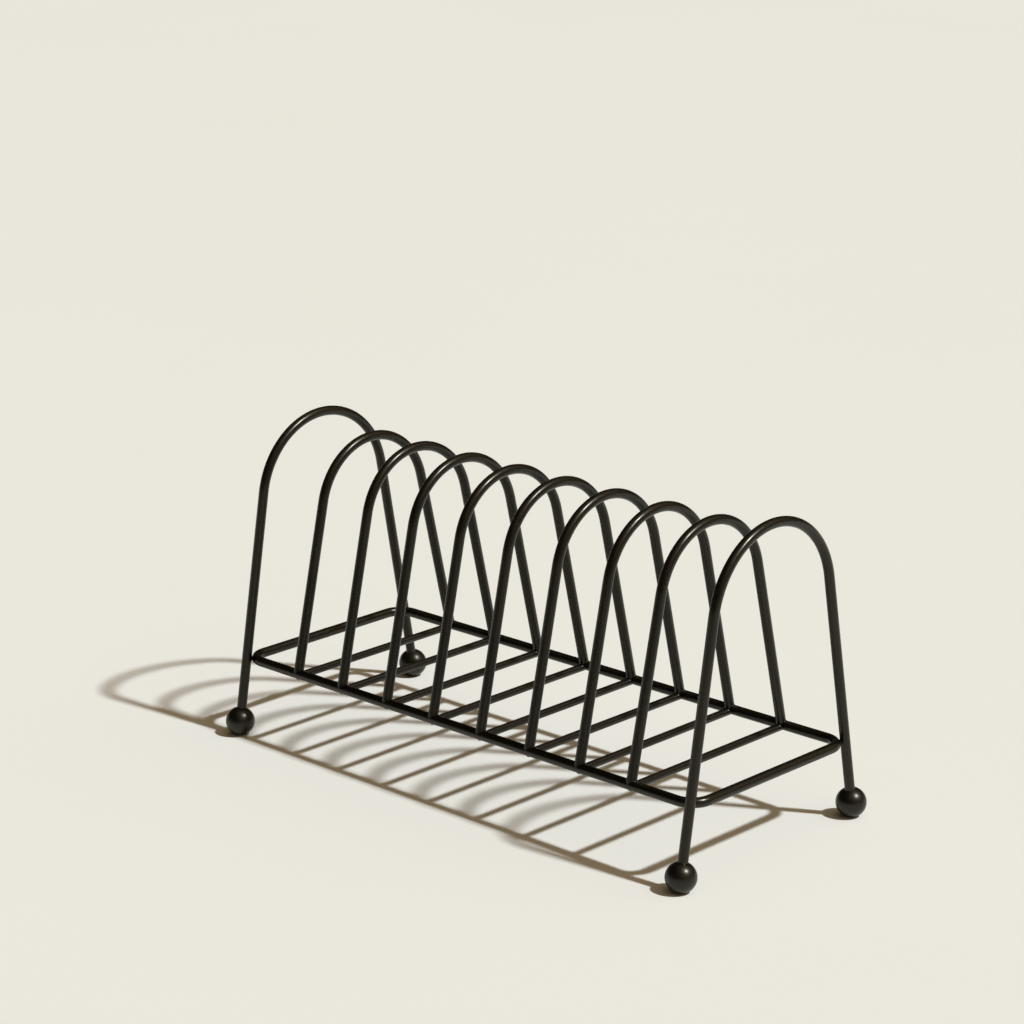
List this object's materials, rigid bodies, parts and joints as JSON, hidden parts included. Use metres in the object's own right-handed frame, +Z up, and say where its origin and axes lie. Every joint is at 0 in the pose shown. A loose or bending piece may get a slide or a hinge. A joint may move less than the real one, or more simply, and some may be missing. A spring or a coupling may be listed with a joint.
{
  "type": "wire plate rack",
  "caption": "Free-standing wire rack on ball feet: upright bent-wire arches on a level base loop hold plates on edge in a row of slots.",
  "frame": {"origin": "on the floor, under the middle of the rack", "axes": "+X along the rack from the left end arch to the right one, +Y to the back, +Z up"},
  "size_m": [0.347, 0.1536, 0.179],
  "materials": {
    "coated_wire": "satin black powder coat on drawn steel wire",
    "coated_thin_wire": "satin black powder coat on thin drawn steel wire",
    "coated_ball": "satin black powder coat on a turned steel ball"
  },
  "bodies": {
    "root": {"rail_loop": "coated_wire", "end_arch_left": "coated_wire", "end_arch_right": "coated_wire", "divider_1": "coated_wire", "divider_2": "coated_wire", "divider_3": "coated_wire", "divider_4": "coated_wire", "divider_5": "coated_wire", "divider_6": "coated_wire", "divider_7": "coated_wire", "divider_8": "coated_wire", "cross_wire_1": "coated_thin_wire", "cross_wire_2": "coated_thin_wire", "cross_wire_3": "coated_thin_wire", "cross_wire_4": "coated_thin_wire", "cross_wire_5": "coated_thin_wire", "cross_wire_6": "coated_thin_wire", "cross_wire_7": "coated_thin_wire", "cross_wire_8": "coated_thin_wire", "foot_front_left": "coated_ball", "foot_front_right": "coated_ball", "foot_back_left": "coated_ball", "foot_back_right": "coated_ball"}
  },
  "joints": []
}
